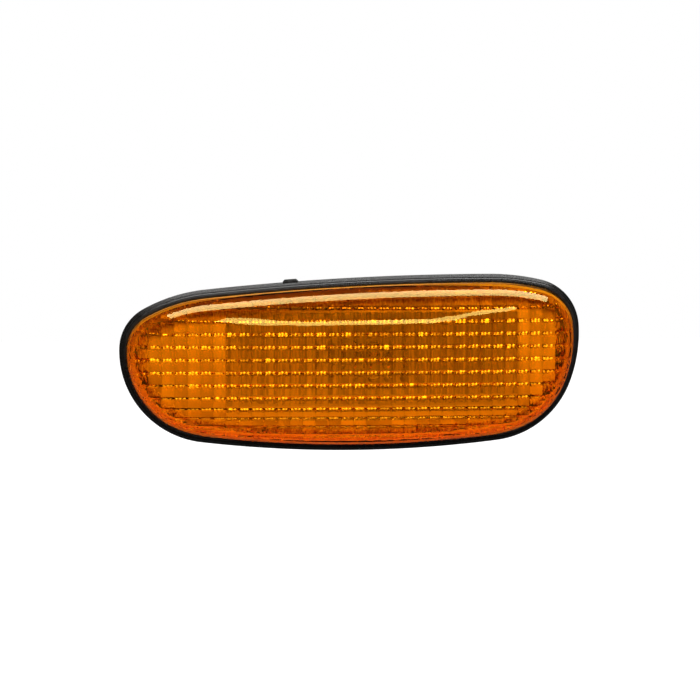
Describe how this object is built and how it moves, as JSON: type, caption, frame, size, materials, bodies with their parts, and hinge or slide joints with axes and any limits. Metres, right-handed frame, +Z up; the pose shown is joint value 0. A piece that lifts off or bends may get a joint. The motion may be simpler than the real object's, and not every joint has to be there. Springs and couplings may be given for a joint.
{
  "type": "vehicle indicator lamp",
  "caption": "Egg-shaped amber side indicator lamp: fluted lens on a moulded housing with a rubber rim, fixed hook, spring clip and twist-in holder for a wedge bulb.",
  "frame": {"origin": "middle of the rubber rim's length and height, on the face of the body panel that the lamp sits on", "axes": "+X to the viewer's right along the lamp, +Y into the body panel, +Z up; the lens faces -Y"},
  "size_m": [0.1202, 0.0608, 0.0461],
  "materials": {
    "rim_rubber": "fine moulded black rubber, satin",
    "housing_plastic": "pale moulded thermoplastic, satin",
    "sealant": "soft pale sealant",
    "amber_lens": "clear amber acrylic, polished outside and fluted inside",
    "spring_steel": "rolled spring steel strip",
    "clear_glass": "clear blown and pressed glass",
    "tungsten": "dull grey coiled wire",
    "lead_wire": "bright drawn wire",
    "holder_plastic": "uncoloured glass-filled nylon, matt",
    "seal_rubber": "smooth moulded rubber",
    "contact_brass": "stamped brass strip"
  },
  "bodies": {
    "root": {"gasket": "rim_rubber", "housing": "housing_plastic", "lens_sealant": "sealant", "lens": "amber_lens", "spring_clip": "spring_steel", "bulb_glass": "clear_glass", "bulb_filament": "tungsten", "bulb_lead_left": "lead_wire", "bulb_lead_right": "lead_wire", "bulb_holder": "holder_plastic", "holder_seal": "seal_rubber", "contact_left": "contact_brass", "contact_right": "contact_brass"}
  },
  "joints": []
}
